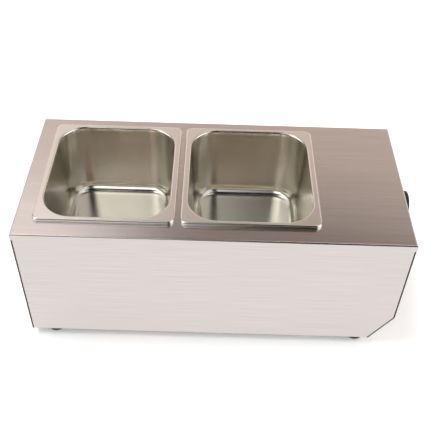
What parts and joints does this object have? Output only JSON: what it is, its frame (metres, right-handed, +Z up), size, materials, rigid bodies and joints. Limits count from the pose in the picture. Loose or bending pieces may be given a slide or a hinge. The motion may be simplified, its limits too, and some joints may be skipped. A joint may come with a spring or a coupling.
{
  "type": "chocolate warmer",
  "caption": "Countertop chocolate warmer: a folded steel housing with dry-heated lift-out pans side by side and a thermostat knob, rocker switch and lamp at one end.",
  "frame": {"origin": "middle of the whole warmer's footprint, on the counter that the feet stand on", "axes": "+X along the length, towards the control end with the knob; -Y towards the long front; +Z up"},
  "size_m": [0.474, 0.2384, 0.187],
  "materials": {
    "block_plastic": "moulded white nylon",
    "brass": "stamped or turned brass",
    "copper": "drawn copper tube",
    "fastener_steel": "zinc plated",
    "gland_plastic": "moulded black nylon",
    "housing_stainless": "brushed stainless sheet",
    "inner_steel": "plain galvanised sheet",
    "knob_plastic": "moulded black plastic, fine grain",
    "lead_sleeving": "extruded silicone sleeving",
    "lens_plastic": "clear amber plastic",
    "mica": "pressed mica sheet round a wound element",
    "mineral_wool": "pressed mineral wool",
    "pan_stainless": "drawn stainless sheet, satin",
    "phenolic": "moulded phenolic",
    "rocker_plastic": "moulded black plastic, polished",
    "rubber": "moulded rubber, matt",
    "silicone": "moulded silicone"
  },
  "bodies": {
    "housing": {"base_plate": "housing_stainless", "base_screws": "fastener_steel", "bulb_clips": "inner_steel", "control_end_cover": "housing_stainless", "cutout_screws": "fastener_steel", "earth_nut": "fastener_steel", "earth_stud": "fastener_steel", "feet": "rubber", "foot_nuts": "fastener_steel", "foot_screws": "fastener_steel", "gland_body": "gland_plastic", "gland_locknut": "gland_plastic", "gland_nut": "gland_plastic", "gland_seal": "silicone", "heat_cutout": "phenolic", "heat_shield": "inner_steel", "heater_nuts": "fastener_steel", "heater_straps": "inner_steel", "heating_plates": "mica", "heating_well": "pan_stainless", "insulation_slab": "mineral_wool", "insulation_wrap": "mineral_wool", "lamp_body": "knob_plastic", "lamp_lens": "lens_plastic", "lamp_nut": "fastener_steel", "left_end_cover": "housing_stainless", "outer_shell": "housing_stainless", "sensor": "copper", "shield_grommets": "silicone", "switch_housing": "knob_plastic", "switch_tabs": "brass", "terminal_block": "block_plastic", "terminal_screws": "brass", "thermostat_body": "phenolic", "thermostat_bracket": "inner_steel", "thermostat_screws": "fastener_steel", "thermostat_tabs": "brass", "wiring_leads": "lead_sleeving"},
    "pan_left": {"pan_left": "pan_stainless"},
    "pan_right": {"pan_right": "pan_stainless"},
    "knob": {"control_knob": "knob_plastic", "thermostat_shaft": "brass"},
    "rocker": {"switch_rocker": "rocker_plastic"}
  },
  "joints": [
    {"name": "pan_left_lift", "type": "slide", "parent": "housing", "child": "pan_left", "axis": [0, 0, 1], "range_m": [0, 0.12]},
    {"name": "pan_right_lift", "type": "slide", "parent": "housing", "child": "pan_right", "axis": [0, 0, 1], "range_m": [0, 0.12]},
    {"name": "knob_turn", "type": "hinge", "parent": "housing", "child": "knob", "pos_m": [0.2178, 0.0029, 0.13], "axis": [-1, 0, 0], "range_deg": [0, 270]},
    {"name": "rocker_tilt", "type": "hinge", "parent": "housing", "child": "rocker", "pos_m": [0.2168, -0.0597, 0.118], "axis": [0, -1, 0], "range_deg": [0, 20]}
  ]
}
